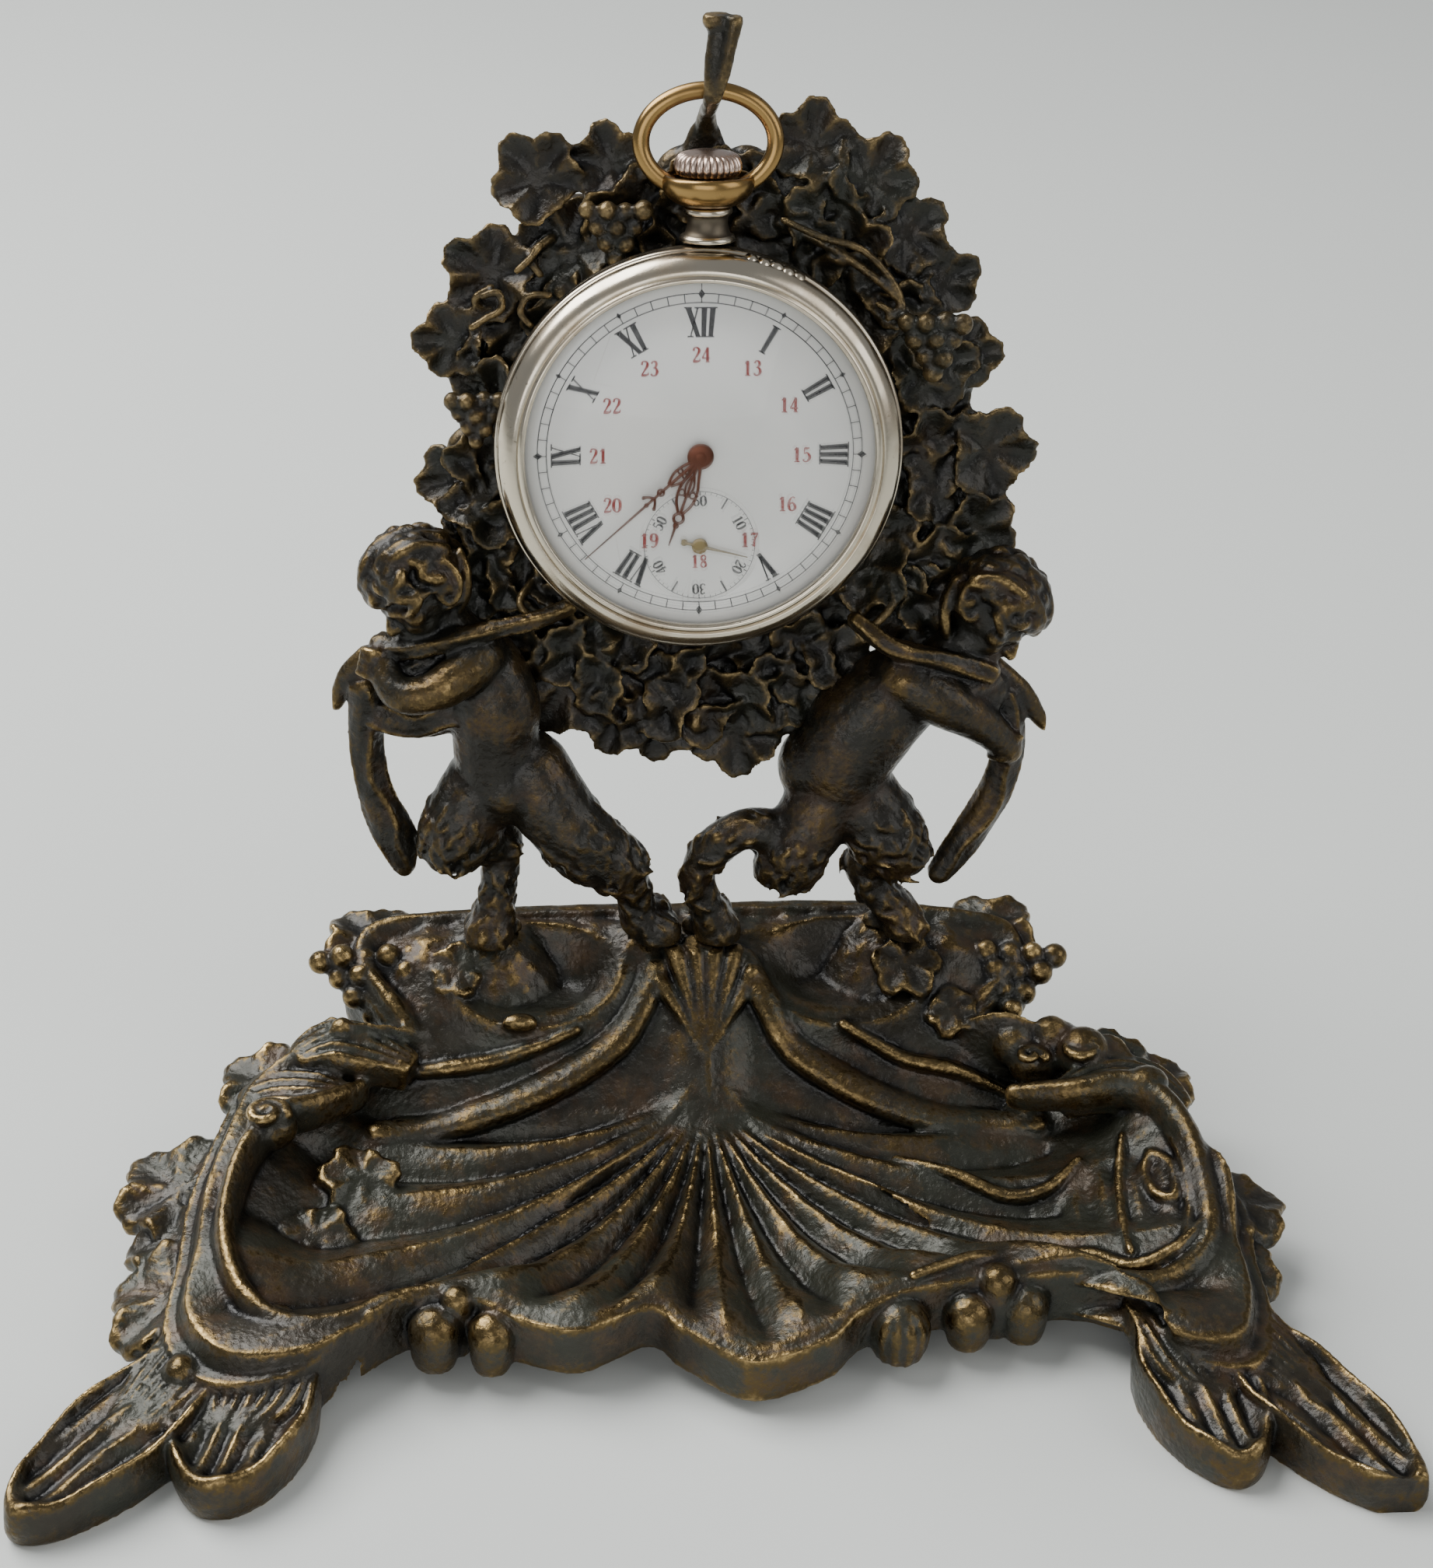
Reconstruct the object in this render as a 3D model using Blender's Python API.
"""A cast bronze pocket-watch stand: two young satyrs carry a vine wreath over a shell tray,
and an open-faced pocket watch hangs from the hook on top of the wreath.

The stand faces -Y. Sizes are millimetres until a mesh is made, which is in metres.
"""
from math import atan2, cos, exp, hypot, pi, radians, sin, tau

import bmesh
import bpy
import numpy as np

MM = 0.001

# Lean of the wreath, the figures and the watch, measured back from upright
LEAN = radians(10.0)
# Foot of the leaning plane, where the hooves meet the top of the base
LEDGE_TOP = 28.2
LEDGE_Y = 15.8
# Gap left between pieces that touch
TOUCH = 0.3

# Watch
WATCH_V = 69.5
CASE_RADIUS = 25.4
DIAL_RADIUS = 22.5
GLASS_RADIUS = 21.4
ROUND_SIDES = 36
# Depths of its layers, measured out from the leaning plane
CASE_BACK = 2.4
BEZEL_FOOT = 9.5
DIAL_BACK = 11.5
DIAL_FACE = 12.0
SECONDS_HAND = 12.3
HOUR_HAND = 12.7
MINUTE_HAND = 13.1
HAND_THICK = 0.15
GLASS_EDGE = 13.2
GLASS_DOME = 15.5
GLASS_THICK = 0.8
BEZEL_TOP = 14.0
# Angles of its hands, clockwise from twelve
MINUTE_ANGLE = radians(-132.0)
HOUR_ANGLE = radians(-161.0)
SECOND_ANGLE = radians(104.0)
SMALL_DIAL_DROP = 11.6
# Pendant, crown and bow, whose axis stands beside the middle of the dial
PENDANT_U = 0.9
PENDANT_D = 8.0
NECK_FOOT = 93.0
CROWN_FOOT = 102.9
CROWN_RIB = 0.35
BOW_V = 107.0
BOW_HALF_WIDTH = 8.2
BOW_HALF_HEIGHT = 6.2
BOW_WIRE = 0.95

# Grain of the fused castings, and the faces that each one keeps
FIGURE_GRAIN = 0.85
FIGURE_FACES = 3650
BASE_GRAIN = 1.0
BASE_FACES = 2750

# Shell tray
HINGE_X = 2.0
HINGE_Y = 4.0
FLUTE_STEP = radians(12.5)
FLUTE_DEPTH = 1.3
WALL = 3.6

SIDE = np.array((1.0, 0.0, 0.0))
UP = np.array((0.0, sin(LEAN), cos(LEAN)))
OUT = np.array((0.0, -cos(LEAN), sin(LEAN)))
FOOT = np.array((0.0, LEDGE_Y, LEDGE_TOP))


def leaning(u, v, d=0.0):
    """A place on the leaning plane: u sideways, v up, d towards the viewer."""
    return FOOT + u * SIDE + v * UP + d * OUT


def unit(vector):
    vector = np.asarray(vector, float)
    return vector / np.linalg.norm(vector)


def smooth_path(points, steps=5, closed=False):
    """Catmull-Rom curve through points of any width."""
    points = np.asarray(points, float)
    count = len(points)
    spans = count if closed else count - 1
    rows = []
    for i in range(spans):
        if closed:
            a, b, c, d = (points[(i + k) % count] for k in (-1, 0, 1, 2))
        else:
            a, b, c, d = (points[min(max(i + k, 0), count - 1)] for k in (-1, 0, 1, 2))
        for t in np.arange(steps) / steps:
            rows.append(0.5 * (2 * b + (c - a) * t + (2 * a - 5 * b + 4 * c - d) * t ** 2
                               + (3 * b - a - 3 * c + d) * t ** 3))
    if not closed:
        rows.append(points[-1])
    return np.array(rows)


class Clay:
    """Closed forms gathered in millimetres before they become one mesh."""

    def __init__(self):
        self.points = []
        self.faces = []

    def skin(self, rows, loop=False):
        """Join rings of equal length, with a cap at each end unless they form a loop."""
        rows = np.asarray(rows, float)
        count, sides, _ = rows.shape
        start = len(self.points)
        self.points.extend(rows.reshape(-1, 3))
        for i in range(count if loop else count - 1):
            near = start + i * sides
            far = start + ((i + 1) % count) * sides
            for j in range(sides):
                k = (j + 1) % sides
                self.faces.append((near + j, near + k, far + k, far + j))
        if not loop:
            last = start + (count - 1) * sides
            self.faces.append(tuple(start + j for j in reversed(range(sides))))
            self.faces.append(tuple(last + j for j in range(sides)))

    def tube(self, path, facing=OUT, sides=10, steps=4):
        """Limb through rows of x, y, z, half-width and half-depth, with domed ends."""
        rows = smooth_path([tuple(p) if len(p) == 5 else (*p, p[3]) for p in path], steps)
        centres = rows[:, :3]
        tangents = np.gradient(centres, axis=0)
        rings = []
        turn = np.arange(sides) * tau / sides
        last = len(rows) - 1
        for i, row in enumerate(rows):
            along = unit(tangents[i])
            across = unit(np.cross(along, facing))
            depth = np.cross(across, along)
            section = (np.outer(np.cos(turn) * row[3], across)
                       + np.outer(np.sin(turn) * row[4], depth))
            reach = min(row[3], row[4])
            if i == 0:
                for lift in (1.45, 1.1, 0.6):
                    rings.append(row[:3] - along * reach * sin(lift) + section * cos(lift))
            rings.append(row[:3] + section)
            if i == last:
                for lift in (0.6, 1.1, 1.45):
                    rings.append(row[:3] + along * reach * sin(lift) + section * cos(lift))
        self.skin(rings)

    def limb(self, path, sides=10, steps=4):
        """Tube whose rows are u, v, d and radii on the leaning plane."""
        self.tube([(*leaning(*row[:3]), *row[3:]) for row in path], OUT, sides, steps)

    def ball(self, centre, radii, axes=None, segments=10, rings=6):
        axes = np.eye(3) if axes is None else np.asarray(axes, float)
        radii = np.ones(3) * np.asarray(radii, float)
        turn = np.arange(segments) * tau / segments
        rows = []
        for k in range(rings + 1):
            lift = -pi / 2 + pi * (k + 0.1) / (rings + 0.2)
            ring = np.stack((np.cos(turn) * cos(lift) * radii[0],
                             np.sin(turn) * cos(lift) * radii[1],
                             np.full(segments, sin(lift) * radii[2])), axis=1)
            rows.append(np.asarray(centre, float) + ring @ axes)
        self.skin(rows)

    def leaf(self, centre, tip, face, size, bend=0.25, thick=1.1, around=30):
        """Five-lobed vine leaf: centre, direction of its tip, direction it faces."""
        face = unit(face)
        ahead = unit(np.asarray(tip, float) - np.dot(tip, face) * face)
        beside = np.cross(ahead, face)
        turn = np.arange(around) * tau / around
        reach = np.array([vine_reach(a) for a in turn]) * size
        rows = []
        for side in (1, -1):
            shares = (0.05, 0.4, 0.75, 1.0)
            for share in (shares if side == 1 else reversed(shares)):
                spread = reach * share
                height = -bend * spread ** 2 / size + side * thick / 2
                height = height - 0.09 * size * share * np.cos(5 * turn) * (side > 0)
                rows.append(np.asarray(centre, float)
                            + np.outer(spread * np.sin(turn), beside)
                            + np.outer(spread * np.cos(turn), ahead)
                            + np.outer(height, face))
        self.skin(rows)

    def bunch(self, centre, across, down, out, grape, rows=4):
        """Triangular bunch of grapes, widest at the top, in two layers."""
        for row in range(rows):
            count = rows - row
            for k in range(count):
                place = (np.asarray(centre, float)
                         + unit(across) * (k - (count - 1) / 2) * grape * 1.7
                         + unit(down) * (row - 1) * grape * 1.5
                         + unit(out) * grape * (0.5 * (k % 2) + 0.1 * (rows - row)))
                self.ball(place, grape, segments=8, rings=5)

    def mesh(self, name):
        mesh = bpy.data.meshes.new(name)
        mesh.from_pydata([tuple(np.asarray(p) * MM) for p in self.points], [], self.faces)
        mesh.update()
        return mesh


def vine_reach(angle):
    """Outline of a vine leaf as a share of its size, by the angle from its tip."""
    angle = (angle + pi) % tau - pi
    reach = 0.60
    for lobe, height, width in ((0.0, 0.40, 0.38), (1.15, 0.32, 0.34), (2.2, 0.24, 0.36)):
        reach += height * exp(-((abs(angle) - lobe) / width) ** 2)
    return reach


def material(name, colour, roughness, metallic):
    finish = bpy.data.materials.new(name)
    finish.use_nodes = True
    shader = finish.node_tree.nodes["Principled BSDF"]
    shader.inputs["Base Color"].default_value = (*colour, 1.0)
    shader.inputs["Roughness"].default_value = roughness
    shader.inputs["Metallic"].default_value = metallic
    return finish


def place(name, mesh, finish):
    piece = bpy.data.objects.new(name, mesh)
    bpy.context.scene.collection.objects.link(piece)
    mesh.materials.clear()
    mesh.materials.append(finish)
    mesh.shade_smooth()
    mesh.set_sharp_from_angle(angle=radians(40))
    return piece


def keep_largest_body(shape):
    """Delete every loose crumb beside the main body."""
    left = set(shape.verts)
    bodies = []
    while left:
        front = [left.pop()]
        body = set(front)
        while front:
            vertex = front.pop()
            for edge in vertex.link_edges:
                other = edge.other_vert(vertex)
                if other in left:
                    left.discard(other)
                    body.add(other)
                    front.append(other)
        bodies.append(body)
    bodies.sort(key=len)
    for body in bodies[:-1]:
        bmesh.ops.delete(shape, geom=list(body), context="VERTS")


def cut_flat(shape, height, keep_above):
    """Slice the casting level at a height in millimetres and close the cut."""
    geometry = list(shape.verts) + list(shape.edges) + list(shape.faces)
    cut = bmesh.ops.bisect_plane(shape, geom=geometry, plane_co=(0, 0, height * MM),
                                 plane_no=(0, 0, 1), dist=1e-6,
                                 clear_inner=keep_above, clear_outer=not keep_above)
    edges = [item for item in cut["geom_cut"] if isinstance(item, bmesh.types.BMEdge)]
    bmesh.ops.holes_fill(shape, edges=edges, sides=0)


def fuse(clay, name, grain, faces, floor=None, ceiling=None):
    """Fuse overlapping forms into one casting with about the given number of faces."""
    rough = bpy.data.objects.new(name + "_clay", clay.mesh(name + "_clay"))
    bpy.context.scene.collection.objects.link(rough)
    union = rough.modifiers.new("union", "REMESH")
    union.mode = "VOXEL"
    union.voxel_size = grain * MM
    soften = rough.modifiers.new("soften", "SMOOTH")
    soften.factor = 0.5
    soften.iterations = 2
    graph = bpy.context.evaluated_depsgraph_get()
    dense = len(rough.evaluated_get(graph).data.polygons) * 2
    thin = rough.modifiers.new("thin", "DECIMATE")
    thin.ratio = min(1.0, faces / dense)
    graph = bpy.context.evaluated_depsgraph_get()
    mesh = bpy.data.meshes.new_from_object(rough.evaluated_get(graph))
    bpy.data.objects.remove(rough)
    shape = bmesh.new()
    shape.from_mesh(mesh)
    keep_largest_body(shape)
    if floor is not None:
        cut_flat(shape, floor, True)
    if ceiling is not None:
        cut_flat(shape, ceiling, False)
    bmesh.ops.dissolve_degenerate(shape, edges=shape.edges[:], dist=1e-5)
    bmesh.ops.triangulate(shape, faces=shape.faces[:])
    bmesh.ops.recalc_face_normals(shape, faces=shape.faces[:])
    shape.to_mesh(mesh)
    shape.free()
    mesh.name = name
    return mesh


# Figures

LEFT_SATYR = {
    "torso": [(-25.5, 22.0, 3.5, 5.6, 5.0), (-26.3, 28.0, 4.0, 5.4, 4.8),
              (-26.0, 34.0, 4.5, 6.0, 5.2), (-27.5, 40.0, 4.5, 5.2, 4.4)],
    "neck": [(-29.0, 42.0, 4.5, 3.4), (-33.0, 47.5, 5.0, 3.0)],
    "head": (-34.6, 50.4, 5.5, 5.9),
    "face": [(-36.0, 48.8, 6.0, 3.8), (-37.0, 46.0, 6.0, 2.3)],
    "hair": [(-31.0, 55.0, 5.0, 3.6), (-36.0, 55.0, 5.5, 3.6), (-40.2, 51.8, 6.0, 2.6)],
    "ear": (-31.0, 52.4, 10.2),
    "arm": [(-27.0, 40.3, 7.0, 3.0), (-32.0, 37.2, 9.0, 2.6), (-36.8, 34.8, 9.0, 2.4),
            (-39.5, 37.5, 7.5, 2.0), (-41.6, 40.2, 6.0, 2.2)],
    "web": [(-42.0, 33.0, 4.0, 2.2, 1.6), (-36.0, 32.6, 5.0, 2.2, 2.2),
            (-30.0, 34.5, 5.0, 2.8, 2.6)],
    "strip": [(-42.6, 37.0, 4.5, 2.0, 1.6), (-43.0, 28.0, 3.0, 2.1, 1.7),
              (-41.6, 20.0, 2.5, 2.3, 1.8), (-39.4, 14.5, 2.5, 2.6, 1.8),
              (-38.6, 10.2, 2.5, 1.2, 1.0)],
    "corner": [(-41.8, 41.0, 4.5, 2.0, 1.4), (-44.8, 38.0, 3.5, 1.7, 1.2),
               (-46.8, 33.8, 2.5, 0.9, 0.8)],
    "bent_leg": [(-27.5, 23.0, 3.0, 5.4, 4.6), (-31.0, 17.6, 4.5, 5.0, 4.4),
                 (-32.6, 14.0, 5.0, 3.6, 3.4)],
    "bent_shank": [(-32.0, 13.2, 4.5, 2.9), (-25.6, 14.6, 1.5, 2.7), (-26.2, 8.5, 1.5, 2.3),
                   (-26.6, 4.0, 2.0, 2.5), (-27.6, 0.2, 3.0, 3.4, 3.0)],
    "front_leg": [(-22.0, 25.0, 3.5, 5.6, 5.0), (-17.2, 17.8, 5.0, 5.2, 4.8),
                  (-12.6, 13.6, 5.5, 4.6, 4.2), (-9.6, 11.2, 5.0, 3.6, 3.4)],
    "front_shank": [(-8.8, 11.0, 4.5, 2.9), (-7.8, 6.5, 3.5, 2.2), (-7.0, 3.0, 3.0, 2.5),
                    (-4.2, 0.2, 3.0, 3.0, 2.8)],
    "cloth": [(-27.0, 42.0, 5.0, 2.6, 2.4), (-33.5, 40.0, 6.0, 3.2, 2.0),
              (-39.5, 40.0, 5.0, 2.4, 1.8)],
    "sling": [(-16.0, 48.6, 7.0, 0.9), (-21.0, 46.8, 8.0, 1.0), (-28.5, 45.6, 9.0, 1.1),
              (-35.0, 43.4, 8.0, 1.2), (-40.5, 43.0, 5.5, 1.6)],
}

RIGHT_SATYR = {
    "torso": [(19.2, 20.5, 3.0, 6.0, 5.2), (19.8, 26.0, 4.0, 6.8, 5.4),
              (23.5, 32.0, 4.5, 6.8, 5.4), (28.5, 36.5, 4.5, 5.8, 4.8)],
    "neck": [(32.5, 39.5, 4.5, 3.6), (37.0, 43.5, 4.5, 3.2)],
    "head": (38.2, 47.6, 4.5, 6.0),
    "face": [(38.5, 44.8, 5.5, 3.8), (39.6, 41.4, 5.5, 2.3)],
    "hair": [(35.5, 51.6, 4.5, 3.8), (40.5, 51.2, 4.5, 3.4), (44.2, 47.6, 4.5, 2.4),
             (45.0, 44.6, 4.5, 1.6)],
    "ear": (36.0, 47.6, 9.6),
    "arm": [(27.5, 37.0, 7.0, 3.2), (32.0, 33.0, 8.5, 3.0), (36.0, 29.8, 8.5, 2.6),
            (40.0, 27.6, 7.0, 2.1), (41.8, 26.4, 5.5, 2.1)],
    "web": [(41.0, 33.5, 3.5, 1.9, 1.6), (36.5, 35.0, 4.5, 2.8, 2.4),
            (31.0, 35.5, 4.5, 3.4, 3.0)],
    "strip": [(41.2, 35.0, 4.0, 1.8, 1.6), (42.0, 27.5, 4.0, 1.9, 1.7),
              (40.4, 20.0, 3.0, 2.1, 1.7), (36.8, 13.2, 2.5, 2.1, 1.7),
              (33.4, 8.0, 2.5, 1.5, 1.2)],
    "corner": [(39.0, 38.4, 4.0, 1.9, 1.5), (43.4, 34.4, 3.5, 1.7, 1.2),
               (46.8, 29.8, 3.0, 0.9, 0.8)],
    "bent_leg": [(21.4, 20.5, 3.0, 6.0, 5.0), (26.0, 15.4, 4.5, 5.0, 4.4),
                 (28.8, 11.9, 4.5, 3.2, 3.0)],
    "bent_shank": [(28.0, 11.4, 4.0, 2.8), (23.6, 10.2, 2.0, 3.0), (25.4, 5.6, 2.0, 2.6),
                   (28.4, 2.4, 2.5, 2.6), (29.4, 0.2, 3.0, 3.2, 2.8)],
    "front_leg": [(17.6, 19.6, 3.5, 5.4, 5.0), (13.4, 13.2, 5.0, 4.6, 4.4),
                  (12.4, 10.6, 5.0, 3.6, 3.4)],
    "front_shank": [(13.0, 14.4, 4.5, 3.6), (7.4, 16.4, 5.0, 2.8), (2.4, 13.2, 4.5, 2.7),
                    (0.5, 9.2, 4.0, 2.1), (1.8, 5.2, 3.5, 2.1), (3.6, 0.2, 3.0, 3.4, 2.8)],
    "cloth": [(29.0, 38.5, 5.0, 2.8, 2.4), (35.0, 36.0, 6.0, 3.4, 2.4),
              (39.5, 35.5, 5.0, 2.8, 1.8)],
    "sling": [(20.5, 46.0, 6.0, 1.0), (25.0, 43.0, 8.0, 1.2), (31.5, 41.0, 8.5, 1.3),
              (38.5, 38.6, 6.5, 1.5)],
}


def satyr(clay, pose):
    """One young satyr: bare above the waist, with shaggy goat legs below it."""
    for part in ("torso", "neck", "face", "arm", "web", "strip", "corner",
                 "bent_leg", "bent_shank", "front_leg", "front_shank", "cloth", "sling"):
        clay.limb(pose[part])
    u, v, d, radius = pose["head"]
    clay.ball(leaning(u, v, d), radius)
    for u, v, d, radius in pose["hair"]:
        clay.ball(leaning(u, v, d), radius)
    clay.ball(leaning(*pose["ear"]), (1.2, 2.0, 1.0), (SIDE, UP, OUT))


# Wreath

# Leaves round the wreath: u, v, direction of the tip in degrees, size
RIM_LEAVES = [(-10.8, 103.4, 100, 5.2), (-19.4, 101.6, 130, 6.2), (-25.2, 90.0, 150, 6.4),
              (-30.2, 81.8, 178, 5.2), (-30.4, 64.2, 195, 5.2), (-27.4, 56.5, 210, 5.6),
              (14.0, 105.6, 84, 5.8), (21.4, 101.6, 58, 6.0), (26.0, 94.8, 38, 5.6),
              (30.6, 88.8, 30, 5.2), (33.8, 79.8, 5, 5.0), (37.4, 67.2, -4, 6.4),
              (36.4, 57.0, -28, 5.8), (-16.4, 36.5, 240, 8.0), (-10.0, 31.6, 250, 5.4),
              (-4.4, 30.8, 262, 5.8), (5.4, 29.6, 276, 6.6), (11.0, 34.0, 290, 5.4),
              (27.5, 45.5, 250, 6.0), (32.0, 52.5, 320, 6.2), (-24.5, 46.0, 220, 5.5)]
BACK_PLATE = (2.5, 67.0, 31.5, 37.0)
RIM_LUMPS = 26
KNOB = (-33.6, 73.2, 2.7)
BUNCHES = [(-10.2, 96.6, 1.35, 4), (-27.6, 73.4, 1.3, 3), (29.4, 82.6, 1.45, 4),
           (16.4, 36.0, 1.35, 4)]
TENDRILS = [
    [(10.0, 96.4, 2.5, 1.0), (16.4, 93.6, 4.0, 0.9), (22.4, 89.6, 5.0, 0.8),
     (25.4, 86.6, 5.5, 0.7), (23.6, 85.0, 5.5, 0.6)],
    [(-18.0, 94.4, 2.0, 0.8), (-20.6, 92.6, 4.0, 0.8), (-19.4, 90.4, 4.5, 0.7)],
    [(-24.6, 84.0, 2.0, 0.8), (-27.4, 87.0, 3.5, 0.8), (-25.4, 88.8, 4.0, 0.7)],
    [(-20.8, 50.8, 3.0, 0.8), (-22.6, 48.6, 6.0, 0.8), (-20.4, 46.6, 6.5, 0.8),
     (-18.4, 47.8, 5.0, 0.7)],
    [(25.0, 51.0, 3.0, 0.8), (25.6, 47.6, 5.0, 0.8), (22.0, 44.0, 6.0, 0.9)],
]
HOOK = [(0.9, 103.0, -0.5, 2.6, 1.8), (1.0, 107.6, 1.2, 1.7, 1.4), (1.0, 110.2, 4.6, 1.1, 1.1),
        (1.0, 110.9, 7.8, 1.1, 1.1), (1.2, 113.2, 10.9, 1.1, 1.1), (1.9, 117.6, 11.7, 1.4, 1.1),
        (2.5, 121.4, 11.9, 1.9, 1.2)]


def wreath(clay):
    """Vine wreath: a back plate with leaves, grapes and tendrils, and the hook on top."""
    u, v, wide, high = BACK_PLATE
    clay.ball(leaning(u, v, -1.0), (wide, high, 2.4), (SIDE, UP, OUT), segments=40, rings=10)
    for k in range(RIM_LUMPS):
        turn = k * tau / RIM_LUMPS
        clay.ball(leaning(u + (wide - 1.5) * cos(turn), v + (high - 2.0) * sin(turn), 0.2),
                  (3.6 + 0.6 * (k % 2), 3.8, 2.2 + 0.5 * (k % 3)), (SIDE, UP, OUT))
    for u, v, degrees, size in RIM_LEAVES:
        tip = cos(radians(degrees)) * SIDE + sin(radians(degrees)) * UP
        clay.leaf(leaning(u, v, 1.4), tip, OUT + 0.25 * tip, size, thick=1.8)
    u, v, radius = KNOB
    clay.ball(leaning(u, v, 0.8), (radius, radius, 2.0), (SIDE, UP, OUT))
    for u, v, grape, rows in BUNCHES:
        clay.bunch(leaning(u, v, 2.0), SIDE, -UP, OUT, grape, rows)
    for path in TENDRILS:
        clay.limb(path, sides=8)
    clay.limb(HOOK, sides=12, steps=6)


# Base

# Plan of the tray's edge, anticlockwise from the back: x, y, top and underside of the edge
EDGE = [(0, 21.5, 28.2, 19), (-20, 21.5, 28.2, 19), (-36, 21, 27.6, 18), (-45.5, 19.5, 26, 17),
        (-47.5, 13.5, 24, 16), (-43.5, 7.5, 22, 10), (-41, 3.8, 20, 6), (-46.5, 3.0, 21, 6),
        (-54.5, 1.5, 18, 6), (-61, -3, 15, 6), (-63.5, -10, 14, 6), (-66, -20, 12, 5),
        (-66.5, -31, 11, 4), (-67, -42, 9.5, 2.5), (-61, -49.5, 9, 1.5), (-51, -49.5, 10, 2),
        (-44, -44, 11.5, 3), (-37, -39.5, 12, 3.5), (-30, -39.5, 12, 3.5), (-24, -42.5, 11, 3.5),
        (-16.6, -44.6, 11, 3.5), (-8, -41, 11, 4), (-4, -43.8, 10, 3), (4.2, -48.8, 9, 2),
        (13.8, -46.4, 10, 3), (18, -42.8, 11, 4), (24, -40.5, 12, 4), (31, -39, 12, 4),
        (38, -38.5, 12, 4), (48, -39, 12.5, 4), (56, -43.5, 11, 3), (58, -50, 9, 1.5),
        (66, -51, 8.5, 1.5), (69.5, -43, 9, 2.5), (69.5, -34, 10, 4), (70, -26, 11, 5),
        (66, -15, 14, 6), (61.5, -5, 16, 6), (59, 0.5, 17, 6), (51, 0, 19, 6),
        (44, 1.5, 22, 6), (38.5, 4.0, 20, 6), (42.5, 8.0, 21, 10), (47, 12, 23, 16),
        (45.5, 18, 26, 17), (34, 20.5, 27.6, 18), (20, 21.5, 28.2, 19)]
EDGE_STEPS = 4
RING_SHARES = (0.03, 0.1, 0.18, 0.27, 0.36, 0.45, 0.54, 0.63, 0.72, 0.8, 0.87, 0.93, 0.97)


def rise(value, start, end):
    """Smooth step from 0 at start to 1 at end."""
    share = min(max((value - start) / (end - start), 0.0), 1.0)
    return share * share * (3 - 2 * share)


def tray_height(x, y, share, edge_top):
    """Height of the tray's upper face, with share running from the hinge to the edge."""
    dx, dy = x - HINGE_X, y - HINGE_Y
    angle = atan2(dx, -dy)
    bowl = np.interp(share, (0.0, 0.12, 0.3, 0.6, 0.84), (17.0, 13.0, 9.4, 8.0, 9.0))
    bowl += (edge_top + 0.6 - 9.0) * rise(share, 0.74, 0.94) + 2.5 * rise(abs(dx), 30, 60)
    flute = cos(tau * angle / (0.72 + 0.28 * share) / FLUTE_STEP)
    bowl += FLUTE_DEPTH * flute * rise(share, 0.08, 0.35) * (1 - rise(share, 0.86, 0.97))
    column = 5.0 * exp(-(dx / 4.5) ** 2) * rise(y, -6, 6)
    ledge = 28.2 * rise(y, -3.0, 13.0) - 0.4 * max(0.0, abs(x) - 36)
    back = rise(y, 0.0, 6.0)
    height = bowl * (1 - back) + max(ledge, 15.0) * back + column * (1 - rise(y, 8, 14))
    return min(height, LEDGE_TOP + 0.6) if share < 0.97 else edge_top


def tray(clay):
    """Thin cast tray: the fluted shell, the ledge behind it and the edge turned down."""
    edge = smooth_path(EDGE, EDGE_STEPS, closed=True)
    hinge = np.array((HINGE_X, HINGE_Y))
    top, under = [], []
    for share in RING_SHARES:
        plan = hinge + (edge[:, :2] - hinge) * share
        heights = np.array([tray_height(x, y, share, z)
                            for (x, y), z in zip(plan, edge[:, 2])])
        top.append(np.column_stack((plan, heights)))
        drop = np.minimum(heights - WALL, np.maximum(heights - WALL - 1.5, edge[:, 3]))
        under.append(np.column_stack((plan, drop)))
    rim_top = edge[:, :3]
    rim_under = edge[:, [0, 1, 3]]
    step = edge[:, :2] - hinge
    inward = hinge + step * (1 - 4.0 / np.linalg.norm(step, axis=1))[:, None]
    skirt = np.column_stack((inward, edge[:, 3]))
    rows = top + [rim_top, rim_under, skirt] + [row for row in reversed(under[:-2])]
    clay.skin(rows)


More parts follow.
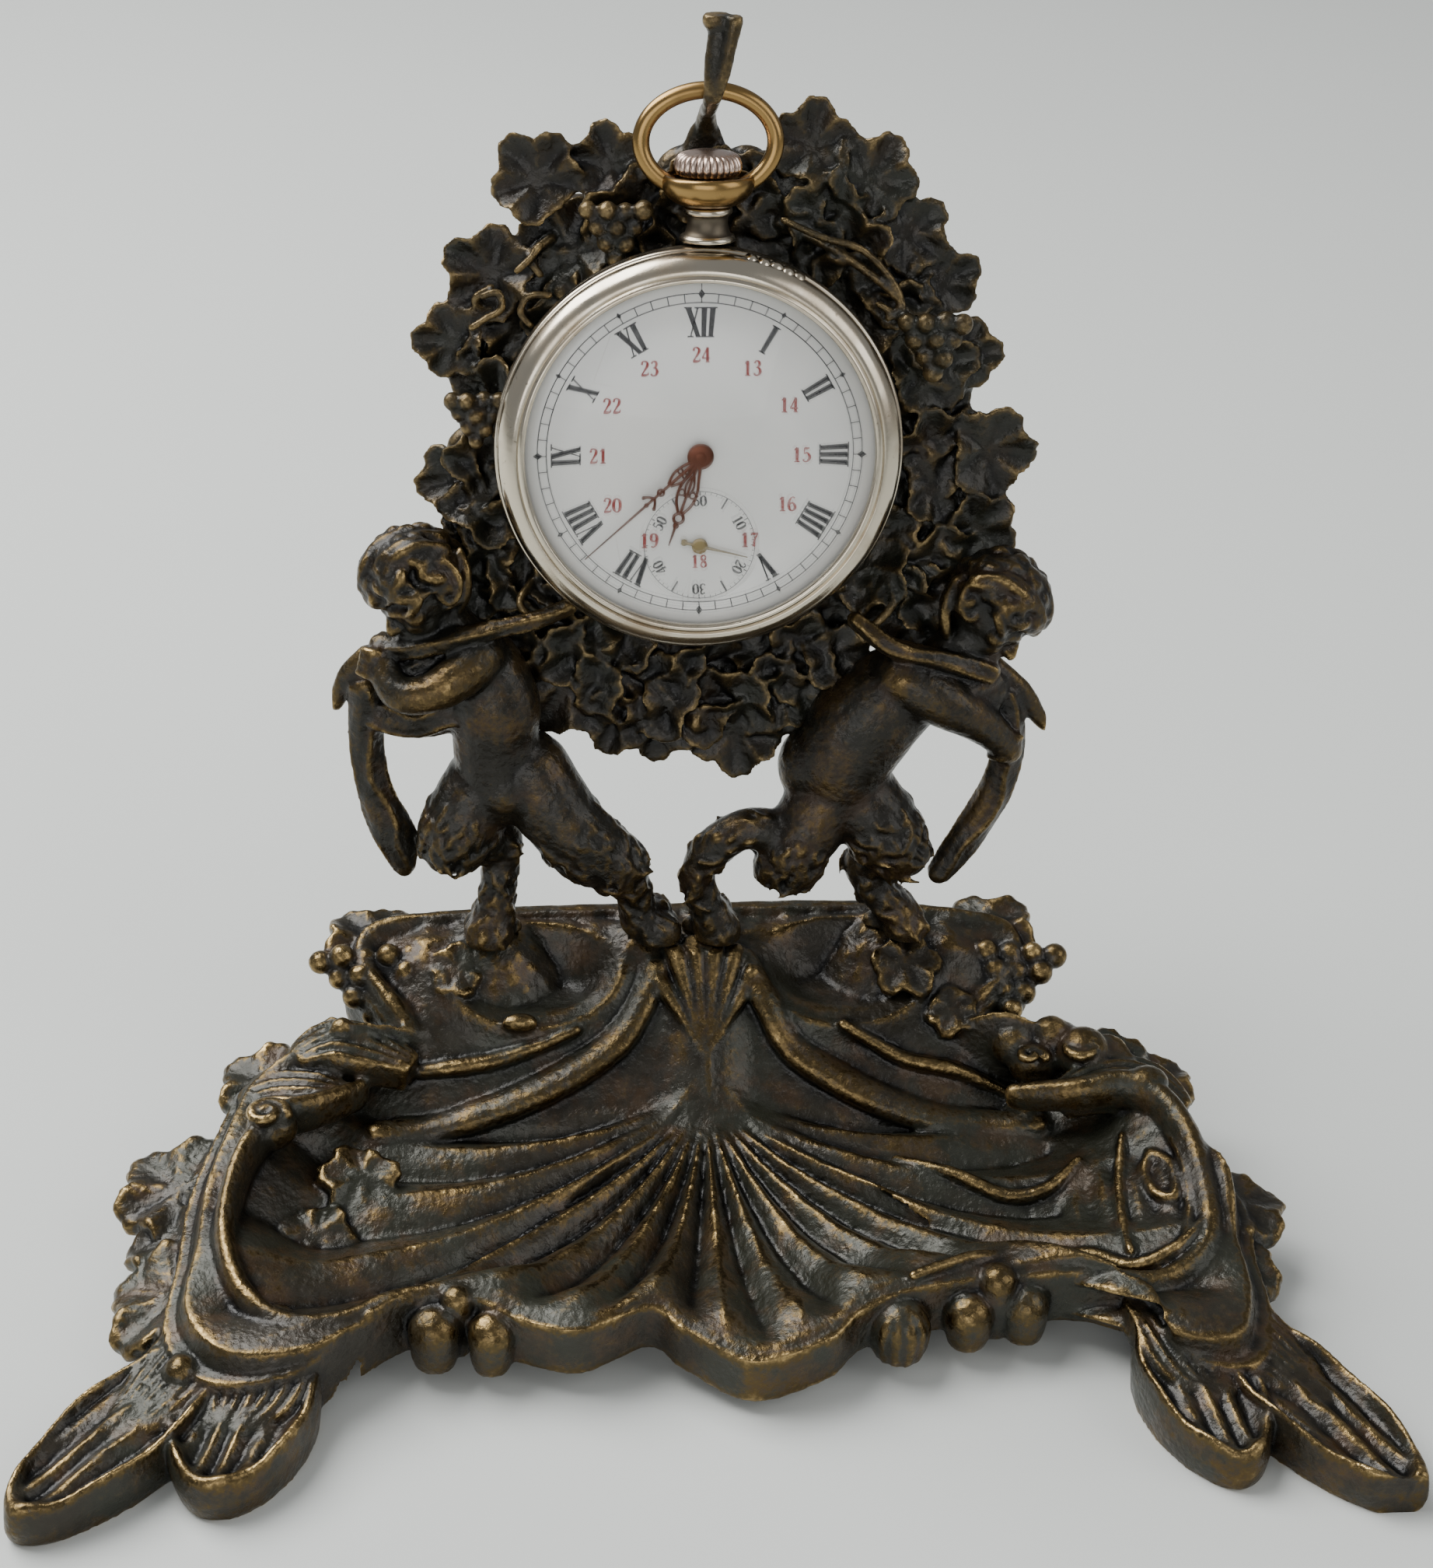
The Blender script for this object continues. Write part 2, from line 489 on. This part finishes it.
def base_details(clay):
    """Feet, scrolled ends, leaves and fruit round the tray."""
    # Curled left and right ends of the shell
    clay.tube([(-50, -10, 17, 2.0), (-55.5, -15.5, 20, 2.8), (-58.6, -23, 18, 2.6),
               (-59.4, -32, 14.5, 2.6), (-55.5, -40, 12, 2.4), (-48.5, -43, 11.5, 2.2)],
              (0, 0, 1))
    clay.ball((-55.5, -15.0, 20.5), (4.0, 3.4, 2.6))
    clay.tube([(45, -12, 18, 2.0), (51.5, -15.0, 21, 2.6), (58.6, -18, 20.5, 2.8),
               (62.6, -26, 17, 2.8), (62.4, -34.5, 13.5, 2.6), (56.5, -39, 12.5, 2.2),
               (46, -37.5, 12.4, 2.0)], (0, 0, 1))
    clay.tube([(45.4, 1.0, 20, 2.2), (47.4, -3.0, 21.5, 2.6), (51, -9, 19, 2.4)], (0, 0, 1))
    clay.tube([(-46.5, 3.0, 19, 2.6), (-45.5, -1.5, 18, 2.8), (-50, -9, 15, 2.4)], (0, 0, 1))
    # Spreading feet, each an outer and an inner lobe
    clay.tube([(-60, -42, 6.5, 6.0, 3.6), (-68.5, -49, 5.4, 5.6, 3.4),
               (-75.5, -57, 3.0, 6.6, 4.0), (-79.0, -61.4, 2.4, 4.6, 3.8)], (0, 0, 1))
    clay.tube([(-55, -42, 7, 7.4, 4.0), (-57.5, -51, 4.8, 7.6, 4.4), (-59, -57, 2.8, 5.8, 4.2)],
              (0, 0, 1))
    clay.tube([(62, -40, 7, 6.6, 3.8), (70.5, -49, 5.4, 5.4, 3.4),
               (77, -59, 3.0, 6.4, 4.0), (79.4, -64.4, 2.4, 4.8, 3.8)], (0, 0, 1))
    clay.tube([(57, -40, 7.5, 6.6, 4.0), (60, -50, 5.0, 6.4, 4.6), (61.5, -58, 3.0, 5.4, 4.2)],
              (0, 0, 1))
    # Vine leaves that hang over the sides
    for x, y, z, tip, face, size in (
            (-67.5, -12.5, 10.5, (-0.8, 0.6, -0.3), (-0.55, 0.1, 1), 9.5),
            (-66.5, -28, 8.5, (-0.9, -0.3, -0.3), (-0.6, 0, 1), 10.5),
            (-57.5, 0.5, 15.5, (-0.5, 0.8, 0), (-0.2, -0.2, 1), 6.5),
            (-48.5, 3.5, 18.5, (-0.2, 1, 0.2), (0, -0.4, 1), 5.0),
            (69, -22, 10.0, (0.9, 0.1, -0.4), (0.6, 0, 1), 9.0),
            (57.5, 0.0, 15.5, (0.6, 0.8, 0), (0.2, -0.2, 1), 6.0),
            (-43, 17.5, 24.5, (-0.7, 0.7, 0), (0, -0.2, 1), 8.0),
            (41, 17.5, 24.5, (0.7, 0.6, 0), (0, -0.2, 1), 8.0),
            (-21, 7.0, 21.6, (-1, -0.1, -0.1), (0, -0.8, 0.6), 7.0),
            (20, 7.0, 21.6, (1, -0.1, -0.1), (0, -0.8, 0.6), 7.0),
            (-67, -46, 8.0, (-0.7, -0.7, -0.2), (-0.1, -0.1, 1), 8.0),
            (70, -46, 8.0, (0.7, -0.7, -0.2), (0.1, -0.1, 1), 7.0)):
        clay.leaf((x, y, z), tip, face, size, thick=2.6)
    # Grapes at the back corners and along the front
    clay.bunch((-42.5, 13.0, 22.0), (1, 0, 0), (0.4, -0.7, -0.5), (0, -0.6, 0.8), 2.3, 4)
    clay.bunch((42.0, 12.0, 21.0), (1, 0, 0), (-0.2, -0.7, -0.5), (0, -0.6, 0.8), 2.3, 4)
    for x, y, z, radius in ((-36.5, -42, 7, 3.0), (-31, -41, 9, 2.8), (-31.5, -44.5, 5.5, 2.8),
                            (20.5, -43.5, 7.5, 4.2), (29, -42.5, 7.0, 3.6), (36.5, -42, 7.5, 3.4),
                            (40.5, -43, 6.5, 2.8)):
        clay.ball((x, y, z), radius)
    # Hidden back leg: a shallow apron that carries the figures
    for side in (-1, 1):
        clay.tube([(side * 35, 18, 18, 7.0, 2.2), (side * 33, 18, 11, 4.6, 2.2),
                   (side * 33, 18.5, 5, 4.4, 2.4), (side * 34, 19, 0.5, 5.4, 2.8)], (0, 1, 0))
    clay.tube([(-34, 18.5, 20, 4.5, 1.9), (0, 18.5, 18, 4.5, 1.9), (34, 18.5, 20, 4.5, 1.9)],
              (0, 1, 0))


# Watch

def turned(clay, profile, centre_v=WATCH_V, centre_u=0.0, sides=ROUND_SIDES, loop=False):
    """Turn a profile of radius and depth about the watch's axis."""
    turn = np.arange(sides) * tau / sides
    rows = []
    for radius, depth in profile:
        rows.append([leaning(centre_u + radius * cos(t), centre_v + radius * sin(t), depth)
                     for t in turn])
    clay.skin(rows, loop)


def turned_upright(clay, profile, sides=24, ribs=0.0):
    """Turn a profile of radius and height about the pendant's axis."""
    rows = []
    for radius, height in profile:
        row = []
        for k in range(sides):
            t = k * tau / sides
            reach = radius + (ribs if k % 2 else 0.0) * (radius > 3.0)
            row.append(leaning(PENDANT_U + reach * cos(t), height, PENDANT_D + reach * sin(t)))
        rows.append(row)
    clay.skin(rows)


def hand(clay, angle, centre_v, depth, outline):
    """Flat hand: outline rows of distance from the arbor and half-width."""
    ahead = sin(angle) * SIDE + cos(angle) * UP
    beside = cos(angle) * SIDE - sin(angle) * UP
    centre = leaning(0.0, centre_v, depth)
    rows = []
    for reach, half in outline:
        middle = centre + ahead * reach
        rows.append([middle + beside * half, middle + beside * half + OUT * HAND_THICK,
                     middle - beside * half + OUT * HAND_THICK, middle - beside * half])
    clay.skin(rows)


def case_body(clay):
    turned(clay, [(0.2, CASE_BACK), (10, 2.6), (18, 3.5), (22.6, 5.1), (24.8, 7.0),
                  (CASE_RADIUS, 8.4), (25.2, 9.2), (22.7, 9.2), (22.7, DIAL_BACK - TOUCH),
                  (0.2, DIAL_BACK - TOUCH)])


def bezel_ring(clay):
    turned(clay, [(23.0, BEZEL_FOOT), (25.2, BEZEL_FOOT), (25.4, 10.4), (25.0, 11.8),
                  (24.0, 13.1), (22.8, 13.9), (21.9, BEZEL_TOP), (21.7, 13.6), (21.7, 12.6),
                  (23.0, 12.5)], loop=True)


def bow_ring(clay):
    rows = []
    for k in range(28):
        t = k * tau / 28
        centre = leaning(PENDANT_U + BOW_HALF_WIDTH * cos(t), BOW_V + BOW_HALF_HEIGHT * sin(t),
                         PENDANT_D)
        normal = unit(cos(t) * BOW_HALF_HEIGHT * SIDE + sin(t) * BOW_HALF_WIDTH * UP)
        rows.append([centre + BOW_WIRE * (cos(a) * normal + sin(a) * OUT)
                     for a in np.arange(8) * tau / 8])
    clay.skin(rows, loop=True)


def fused_pair(first, second, name):
    """Join two closed forms with a Boolean union."""
    objects = []
    for clay in (first, second):
        item = bpy.data.objects.new(name + "_part", clay.mesh(name + "_part"))
        bpy.context.scene.collection.objects.link(item)
        objects.append(item)
    joined = objects[0].modifiers.new("union", "BOOLEAN")
    joined.operation = "UNION"
    joined.object = objects[1]
    graph = bpy.context.evaluated_depsgraph_get()
    mesh = bpy.data.meshes.new_from_object(objects[0].evaluated_get(graph))
    for item in objects:
        bpy.data.objects.remove(item)
    mesh.name = name
    return mesh


def outward(mesh):
    shape = bmesh.new()
    shape.from_mesh(mesh)
    bmesh.ops.recalc_face_normals(shape, faces=shape.faces[:])
    bmesh.ops.triangulate(shape, faces=shape.faces[:])
    shape.to_mesh(mesh)
    shape.free()
    return mesh


def watch(silver, brass, glass, enamel, gilt):
    parts = {}

    def add(name, clay, finish):
        parts[name] = place(name, outward(clay.mesh(name)), finish)

    body = Clay()
    case_body(body)
    neck = Clay()
    turned_upright(neck, [(1.1, NECK_FOOT), (1.1, 95.2), (3.5, 95.3), (3.4, 95.9), (2.7, 96.5),
                          (2.5, 98.2), (3.0, 99.4)], 20)
    place("watch_case", outward(fused_pair(body, neck, "watch_case")), silver)
    ring = Clay()
    bezel_ring(ring)
    add("bezel", ring, silver)
    crystal = Clay()
    dome = [(0.2, GLASS_DOME), (9, GLASS_DOME - 0.15), (16, GLASS_DOME - 0.65),
            (GLASS_RADIUS, GLASS_EDGE + GLASS_THICK)]
    turned(crystal, [(radius, depth - GLASS_THICK) for radius, depth in dome] + dome[::-1])
    add("crystal", crystal, glass)
    dial = Clay()
    turned(dial, [(0.2, DIAL_BACK), (DIAL_RADIUS, DIAL_BACK), (DIAL_RADIUS, DIAL_FACE),
                  (0.2, DIAL_FACE)])
    add("dial", dial, enamel)
    hour = Clay()
    hand(hour, HOUR_ANGLE, WATCH_V, HOUR_HAND,
         [(-1.0, 0.7), (0.9, 0.9), (4.0, 0.5), (7.5, 1.2), (9.0, 0.5), (12.0, 0.1)])
    add("hour_hand", hour, gilt)
    minute = Clay()
    hand(minute, MINUTE_ANGLE, WATCH_V, MINUTE_HAND,
         [(-1.0, 0.7), (0.9, 0.9), (5.0, 0.4), (9.5, 1.0), (11.0, 0.3), (19.3, 0.1)])
    add("minute_hand", minute, gilt)
    second = Clay()
    hand(second, SECOND_ANGLE, WATCH_V - SMALL_DIAL_DROP, SECONDS_HAND,
         [(-2.4, 0.35), (-0.9, 0.3), (0.0, 0.8), (0.9, 0.3), (6.2, 0.1)])
    add("seconds_hand", second, gilt)
    crown = Clay()
    turned_upright(crown, [(2.4, CROWN_FOOT), (3.5, 103.2), (3.8, 104.2), (3.5, 105.4), (2.2, 106.1)],
                   32, CROWN_RIB)
    add("crown", crown, silver)
    loop = Clay()
    bow_ring(loop)
    saddle = Clay()
    turned_upright(saddle, [(2.8, 99.7), (3.6, 100.0), (5.2, 101.4), (5.5, 102.2), (4.6, 102.6)],
                   24)
    place("bow", outward(fused_pair(saddle, loop, "bow")), brass)


def centre_on_floor():
    """Put the origin on the floor, below the middle of the whole stand."""
    pieces = [item for item in bpy.data.objects if item.type == "MESH"]
    corners = np.array([vertex.co[:] for item in pieces for vertex in item.data.vertices])
    low, high = corners.min(axis=0), corners.max(axis=0)
    for item in pieces:
        item.location = (-(low[0] + high[0]) / 2, -(low[1] + high[1]) / 2, -low[2])


def main():
    for item in list(bpy.data.objects):
        bpy.data.objects.remove(item)
    bronze = material("bronze", (0.060, 0.048, 0.033), 0.42, 1.0)
    silver = material("silver", (0.62, 0.59, 0.53), 0.28, 1.0)
    brass = material("brass", (0.52, 0.38, 0.20), 0.30, 1.0)
    gilt = material("gilt", (0.40, 0.20, 0.10), 0.35, 1.0)
    enamel = material("enamel", (0.80, 0.80, 0.80), 0.15, 0.0)
    glass = material("glass", (0.95, 0.97, 0.97), 0.03, 0.0)
    glass.node_tree.nodes["Principled BSDF"].inputs["Transmission Weight"].default_value = 1.0

    figures = Clay()
    satyr(figures, LEFT_SATYR)
    satyr(figures, RIGHT_SATYR)
    wreath(figures)
    mesh = fuse(figures, "satyrs_and_wreath", FIGURE_GRAIN, FIGURE_FACES,
                floor=LEDGE_TOP + TOUCH)
    place("satyrs_and_wreath", mesh, bronze)

    base = Clay()
    tray(base)
    base_details(base)
    mesh = fuse(base, "base", BASE_GRAIN, BASE_FACES, floor=0.0, ceiling=LEDGE_TOP)
    place("base", mesh, bronze)
    watch(silver, brass, glass, enamel, gilt)
    centre_on_floor()


main()
